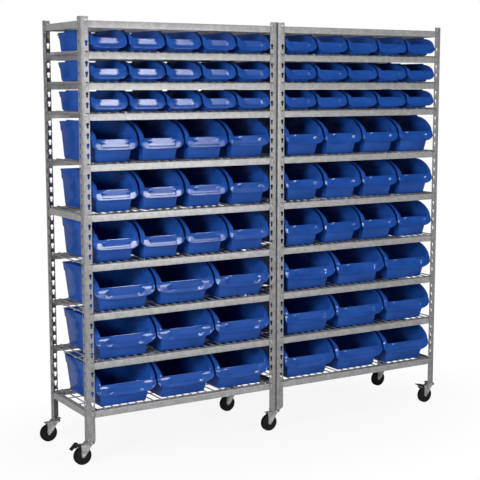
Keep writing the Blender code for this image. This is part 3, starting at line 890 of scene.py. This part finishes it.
caster = {
    "trail": 0.029,
    "wheelRadius": 0.0355,
    "wheelWidth": 0.018,
    "wheelSides": 56,
    # each ring of the wheel's side, from the tread inwards: how wide it is and how far it steps out
    "wheelSteps": (
        (0.0037, 0), (0.0012, -0.001), (0.006, 0), (0.001, 0.0007), (0.009, 0), (0.0015, 0.0004), (0.0059, 0),
    ),
    "treadRound": 0.0028,
    "legInner": 0.0095,
    "legWall": 0.002,
    "footRadius": 0.0075,
    # the leg's two edges, across and up from the axle
    "legRight": ((0.0195, 0.0125), (0.027, 0.0252), (0.0385, 0.0405), (0.0409, 0.0455)),
    "legLeft": ((-0.0088, 0.0455), (-0.009, 0.042), (-0.0086, 0.038), (-0.008, 0.033), (-0.0074, 0.026)),
    "pressRim": 0.0026,
    "pressDepth": 0.0007,
    "crownLow": 0.079,
    "crownTop": 0.083,
    "crownRadius": 0.0226,
    # the plate that joins the legs, on the wheel's side of the stem: where it ends along X, and its clearances
    "webEnds": (-0.0464, -0.006),
    "webSide": 0.0004,
    "webAbove": 0.0003,
    "webBelow": 0.0021,
    # low, top and radius of each ring over the crown
    "racewaySteps": ((0.083, 0.0858, 0.0217), (0.0858, 0.0868, 0.0196)),
    "ringSides": 40,
    "axleRadius": 0.004,
    "washerRadius": 0.0074,
    "washerWall": 0.0009,
    "nutRadius": 0.0064,
    "nutEnd": 0.0143,
    "axleProud": 0.0007,
    "stemRadius": 0.005,
    "boreGap": 0.0003,
    # how far nuts and washers sink into what they bear on
    "bedding": 0.0002,
    "pinBack": 0.025,
    "pinRise": 0.0395,
    "pinRadius": 0.0022,
    "earRadius": 0.005,
}

footPlate = {
    "reachX": 0.033,
    "centreReachX": 0.019,
    "reachY": 0.029,
    "low": 0.0906,
    "top": 0.0936,
    "round": 0.004,
    "nutRadius": 0.0078,
    "nutHeight": 0.0052,
    "stemProud": 0.002,
    "wallGap": 0.0001,
}

pedal = {
    "heel": 0.0112,
    "toe": -0.0243,
    "low": 0.0082,
    "top": 0.0114,
    "cornerRound": 0.003,
    "ridgeMiddle": 0.0062,
    "ridgeHalf": 0.0014,
    "ridgeHeight": 0.0005,
    "ridgeInset": 0.003,
    "ridgeSunk": 0.001,
    # the cheek's outline from under the pin to the heel, up, and back towards the toe
    "lobe": (
        (0.003, -0.0095), (0.009, -0.0112), (0.0142, -0.0075), (0.0148, 0.001),
        (0.0105, 0.0086), (-0.011, 0.0086), (-0.009, 0.005),
    ),
    "cheekInner": 0.0118,
    "cheekOuter": 0.0131,
    "pinGap": 0.0003,
    # the pressed and the raised pedal at rest, in degrees
    "angles": {"left": -44, "right": 10},
}


def arcAround(centre, radius, start, end, steps):
    angles = [math.radians(start + (end - start) * step / steps) for step in range(steps + 1)]
    return [(centre[0] + radius * math.cos(angle), centre[1] + radius * math.sin(angle)) for angle in angles]


def makeWheel():
    half, sides = caster["wheelWidth"] / 2, caster["wheelSides"]
    wheel = startRod("wheel", caster["wheelRadius"], (0, -half, 0), (0, half, 0), sides)
    with editing(wheel):
        choose(wheel, "edges", lambda edge: abs(abs(middleOf(edge).y) - half) < 0.0001)
        bpy.ops.mesh.bevel(offset=caster["treadRound"], segments=3, affect="EDGES")
        for side in (-1, 1):
            choose(wheel, "faces", lambda face: face.normal.y * side > 0.99)
            for inset, outward in caster["wheelSteps"]:
                bpy.ops.mesh.inset(thickness=inset)
                bpy.ops.transform.translate(value=(0, side * outward, 0))
        # the axle's bore, in place of the two middle faces
        choose(wheel, "faces", lambda face: len(face.verts) == sides)
        bpy.ops.mesh.delete(type="FACE")
        choose(wheel, "edges", lambda edge: edge.is_boundary)
        bpy.ops.mesh.bridge_edge_loops()
    facesOut(wheel)
    return shade(wheel, 30)


def makeLeg(side, braked):
    axle = (-caster["trail"], caster["wheelRadius"])
    outline = arcAround(axle, caster["footRadius"], 182, 330, 8)
    outline += [(axle[0] + across, axle[1] + up) for across, up in caster["legRight"]]
    left = [(axle[0] + across, axle[1] + up) for across, up in caster["legLeft"]]
    if braked:
        # an ear that carries the pedal's pin takes the place of the edge's second point
        ear = (axle[0] - caster["pinBack"], axle[1] + caster["pinRise"])
        left = [left[0], *arcAround(ear, caster["earRadius"], 100, 270, 6), *left[2:]]
    leg = cutSheet("forkLeg", outline + left, caster["legWall"])
    with editing(leg):
        choose(leg, "faces", lambda face: face.normal.y < -0.9)
        bpy.ops.mesh.inset(thickness=caster["pressRim"])
        bpy.ops.transform.translate(value=(0, caster["pressDepth"], 0))
    leg.data.transform(Matrix.Translation((0, -caster["legInner"] - caster["legWall"], 0)))
    roundEdges(leg, 0.0005, 2, 25)
    if side > 0:
        turned = mirrored(leg, "forkLeg", (0, 1, 0))
        drop(leg)
        leg = turned
    return leg


def makeFork(braked):
    legs = [makeLeg(side, braked) for side in (-1, 1)]
    low, top = caster["crownLow"], caster["crownTop"]
    crown = startRod("crown", caster["crownRadius"], (0, 0, low), (0, 0, top), caster["ringSides"])
    roundEdges(crown, 0.0012, 3, 40)
    inner, (rear, front) = caster["legInner"] + caster["webSide"], caster["webEnds"]
    web = startBox("crownWeb", (rear, -inner, low + caster["webAbove"]), (front, inner, top - caster["webBelow"]))
    roundEdges(web, 0.0006, 2, 40)
    rings = [crown]
    for start, end, radius in caster["racewaySteps"]:
        ring = startRod("raceway", radius, (0, 0, start), (0, 0, end), caster["ringSides"])
        rings.append(roundEdges(ring, 0.0008, 2, 40) if end - start > 0.002 else ring)
    bore = caster["stemRadius"] + caster["boreGap"]
    for ring in rings:
        cutAway(ring, startRod("stemBore", bore, (0, 0, low - 0.01), (0, 0, top + 0.017), 24))
    head = joinInto(web, *rings)
    axleX, axleZ = -caster["trail"], caster["wheelRadius"]

    def across(name, radius, start, end, sides):
        return startRod(name, radius, (axleX, start, axleZ), (axleX, end, axleZ), sides)

    bearing, nutEnd = caster["legInner"] + caster["legWall"] - caster["bedding"], caster["nutEnd"]
    washerEnd, nutFace = bearing + caster["washerWall"], nutEnd - caster["axleProud"]
    parts = [across("axle", caster["axleRadius"], -nutEnd, nutEnd, 20)]
    for side in (-1, 1):
        parts.append(across("washer", caster["washerRadius"], side * bearing, side * washerEnd, 24))
        nut = across("axleNut", caster["nutRadius"], side * bearing, side * nutFace, 6)
        parts.append(roundEdges(nut, 0.0007, 2, 40))
    if braked:
        pinX, pinZ = axleX - caster["pinBack"], axleZ + caster["pinRise"]
        end = pedal["cheekOuter"] + pedal["pinGap"]
        parts.append(startRod("pedalPin", caster["pinRadius"], (pinX, -end, pinZ), (pinX, end, pinZ), 16))
    fork = joinInto(head, *legs, *parts)
    return shade(fork, 35)


def makePedal():
    # a moulded tread with two long ridges, on two cheeks that carry the pin outside the fork's ears
    inner, outer, top = pedal["cheekInner"], pedal["cheekOuter"], pedal["top"]
    toe, heel = pedal["toe"], pedal["heel"]
    tread = startBox("pedalTread", (toe, -outer, pedal["low"]), (heel, outer, top))
    with editing(tread):
        choose(tread, "edges", standing)
        bpy.ops.mesh.bevel(offset=pedal["cornerRound"], segments=3, affect="EDGES")
    parts = [roundEdges(tread, 0.0006, 2, 40)]
    start, end = toe + pedal["ridgeInset"], heel - pedal["ridgeInset"]
    low, high = top - pedal["ridgeSunk"], top + pedal["ridgeHeight"]
    outline = [*arcAround((0, 0), caster["earRadius"], 150, 265, 5), *pedal["lobe"]]
    # half the length of the tool that cuts the pin's hole through a cheek
    through = 0.03
    for side in (-1, 1):
        middle, half = side * pedal["ridgeMiddle"], pedal["ridgeHalf"]
        ridge = startBox("pedalRidge", (start, middle - half, low), (end, middle + half, high))
        parts.append(roundEdges(ridge, 0.0004, 2, 40))
        cheek = cutSheet("pedalCheek", outline, outer - inner)
        cheek.data.transform(Matrix.Translation((0, inner if side > 0 else -outer, 0)))
        hole = startRod("pinHole", caster["pinRadius"] + pedal["pinGap"], (0, -through, 0), (0, through, 0), 16)
        parts.append(roundEdges(cutAway(cheek, hole), 0.0004, 1, 40))
    return shade(joinInto(*parts), 35)


def makeFootPlate(name, spanX, spanY, across, deep):
    # the plate between a post's flanges, with the caster's stem through it and the stem's nut on top
    low, top = footPlate["low"], footPlate["top"]
    plate = startBox(name, (spanX[0], spanY[0], low), (spanX[1], spanY[1], top))
    with editing(plate):
        choose(plate, "edges", standing)
        bpy.ops.mesh.bevel(offset=footPlate["round"], segments=3, affect="EDGES")
    roundEdges(plate, 0.0004, 1, 40)
    nutTop = top + footPlate["nutHeight"]
    stemTop = (across, deep, nutTop + footPlate["stemProud"])
    stem = startRod("stem", caster["stemRadius"], (across, deep, caster["crownLow"]), stemTop, 20)
    nutLow = (across, deep, top - caster["bedding"])
    nut = startRod("stemNut", footPlate["nutRadius"], nutLow, (across, deep, nutTop), 6)
    return shade(joinInto(plate, stem, roundEdges(nut, 0.0006, 2, 40)), 35)


wheelModel = makeWheel()
forkModels = {braked: makeFork(braked) for braked in (False, True)}
pedalModel = makePedal()
for end in ("front", "rear"):
    for side in ("left", "centre", "right"):
        place = f"{end}_{side}"
        low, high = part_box(f"{place}_caster_wheel")
        axle = (low + high) / 2
        swivel = Vector((axle.x + caster["trail"], axle.y, 0))
        braked = end == "front" and side in pedal["angles"]
        wheel = copyOf(wheelModel, f"{place}_wheel_tyre", (axle.x, axle.y, caster["wheelRadius"]))
        put(wheel, f"{place}_wheel", "wheel_rubber", finishes["rubber"], f"{place}_caster_wheel")
        fork = copyOf(forkModels[braked], f"{place}_fork_pressing", swivel)
        put(fork, f"{place}_fork", "zinc_plate", finishes["zinc"], f"{place}_caster_fork")
        if braked:
            pin = (axle.x - caster["pinBack"], axle.y, caster["wheelRadius"] + caster["pinRise"])
            turn = Matrix.Rotation(math.radians(pedal["angles"][side]), 4, "Y")
            tread = copyOf(pedalModel, f"{place}_pedal_tread", pin, turn)
            put(tread, f"{place}_pedal", "pedal_black", finishes["pedal"], f"{place}_brake_pedal")
        # an outer plate starts just inside its post's walls, and a centre one reaches under both its posts
        inside, reachX = post["wall"] + footPlate["wallGap"], footPlate["centreReachX"]
        if side == "centre":
            spanX = (postCorners["centre_left"] - reachX, postCorners["centre_right"] + reachX)
        else:
            spanX = sorted(postCorners[side] + postSides[side] * reach for reach in (inside, footPlate["reachX"]))
        outerY, inward = (frontCorner, 1) if end == "front" else (rearCorner, -1)
        spanY = sorted(outerY + inward * reach for reach in (inside, footPlate["reachY"]))
        foot = makeFootPlate(f"{place}_foot_plate", spanX, spanY, swivel.x, swivel.y)
        put(foot, "frame", "post_paint", finishes["post"])
drop(wheelModel, pedalModel, *forkModels.values())
print("casters done")


studio = {
    "ambient": 0.04,
    "floorSize": 14,
    "floorLevel": -0.0005,
    "floorColour": (0.86, 0.86, 0.87),
    # how white the camera sees the floor under the cart, and between which distances it fades to white
    "floorGlow": 0.9,
    "floorFade": (0.3, 1.0),
    # how much of the white floor and backdrop shows in reflections
    "floorGloss": 0.1,
    "worldGloss": 0.12,
    "lens": 86.16,
    "sensor": 36,
    "cameraPlace": (-2.559113, -4.16104, 1.45129),
    "cameraTurn": (math.pi / 2 - 0.1332, 0.0009, -0.5451),
    "lamps": {
        # place, aim, width and height, watts in soft light, watts in reflections
        "softboxRight": ((1.29, -4.25, 1.36), (-0.3, -0.2, 1.0), (0.98, 1.0), 64, 225),
        "softboxLeft": ((-4.3, -2.4, 1.8), (-0.8, 0, 0.9), (1.3, 1.7), 155, 25),
        "overhead": ((0.0, -1.2, 4.6), (0, 0, 0.8), (2.6, 1.8), 38, 38),
    },
}


def makeFloorPaint():
    # a pale floor that turns white away from the cart and keeps the shadow near it
    finish = Finish("floorPaint", roughness=0.9)
    finish.surface.inputs["Base Color"].default_value = (*studio["floorColour"], 1)
    camera = finish.add("ShaderNodeLightPath", {}, {}, "Is Camera Ray")
    glossy = Wire(finish, camera.socket.node.outputs["Is Glossy Ray"])
    through = Wire(finish, camera.socket.node.outputs["Is Transmission Ray"])
    around = finish.add("ShaderNodeMapping", {}, {"Vector": finish.place, "Scale": (0.6, 1, 1)})
    distance = finish.add("ShaderNodeVectorMath", {"operation": "LENGTH"}, {0: around}, "Value")
    glow = distance.between(*studio["floorFade"]) * (1 - studio["floorGlow"]) + studio["floorGlow"]
    seen = camera.math("MAXIMUM", through) * glow + glossy * studio["floorGloss"]
    white = finish.add("ShaderNodeEmission", {}, {"Color": (1, 1, 1), "Strength": 1.0})
    plain = Wire(finish, finish.surface.outputs[0])
    blend = finish.add("ShaderNodeMixShader", {}, {0: seen, 1: plain, 2: white})
    finish.tree.links.new(blend.socket, finish.tree.nodes["Material Output"].inputs["Surface"])
    return finish.material


def addLight(name, place, target, size, power):
    lamp = bpy.data.lights.new(name, "AREA")
    lamp.shape = "RECTANGLE"
    lamp.size, lamp.size_y = size
    lamp.energy = power
    light = bpy.data.objects.new(name, lamp)
    bpy.context.scene.collection.objects.link(light)
    light.location = place
    light.rotation_euler = (Vector(target) - Vector(place)).to_track_quat("-Z", "Y").to_euler()
    return light


def makeWorld():
    # dim and even for lighting, white where the camera looks, and white behind the cart for metal and glass
    world = bpy.data.worlds.new("studio")
    world.use_nodes = True
    shader = Shader(world.node_tree)
    ambient = Wire(shader, world.node_tree.nodes["Background"].outputs[0])
    ambient.socket.node.inputs["Color"].default_value = (1, 1, 1, 1)
    ambient.socket.node.inputs["Strength"].default_value = studio["ambient"]
    white = shader.add("ShaderNodeBackground", {}, {"Color": (1, 1, 1), "Strength": 1.0})
    camera = shader.add("ShaderNodeLightPath", {}, {}, "Is Camera Ray")
    glossy = Wire(shader, camera.socket.node.outputs["Is Glossy Ray"])
    through = Wire(shader, camera.socket.node.outputs["Is Transmission Ray"])
    direction = shader.add("ShaderNodeTexCoord", {}, {}, "Generated")
    rearward = shader.add("ShaderNodeSeparateXYZ", {}, {"Vector": direction}, "Y").between(-0.1, 0.4)
    seen = camera.math("MAXIMUM", through).math("MAXIMUM", glossy * rearward * studio["worldGloss"])
    blend = shader.add("ShaderNodeMixShader", {}, {0: seen, 1: ambient, 2: white})
    shader.tree.links.new(blend.socket, world.node_tree.nodes["World Output"].inputs["Surface"])
    return world


bpy.context.scene.world = makeWorld()
bpy.ops.object.select_all(action="DESELECT")
bpy.ops.mesh.primitive_plane_add(size=studio["floorSize"], location=(0, 0, studio["floorLevel"]))
floor = settle(bpy.context.object)
floor.name = "floor"
floor.data.materials.append(makeFloorPaint())
for name, (place, aim, size, soft, reflected) in studio["lamps"].items():
    # plastic and paint show each lamp's reflection at its own strength, so each has two lamps in one place
    addLight(name, place, aim, size, soft).visible_glossy = False
    addLight(f"{name}Reflected", place, aim, size, reflected).visible_diffuse = False

lens = bpy.data.cameras.new("photoCamera")
lens.lens = studio["lens"]
lens.sensor_width = studio["sensor"]
camera = bpy.data.objects.new("photoCamera", lens)
bpy.context.scene.collection.objects.link(camera)
camera.location = studio["cameraPlace"]
camera.rotation_euler = studio["cameraTurn"]
bpy.context.scene.camera = camera
bpy.context.scene.view_settings.view_transform = "Standard"

print("scene done")
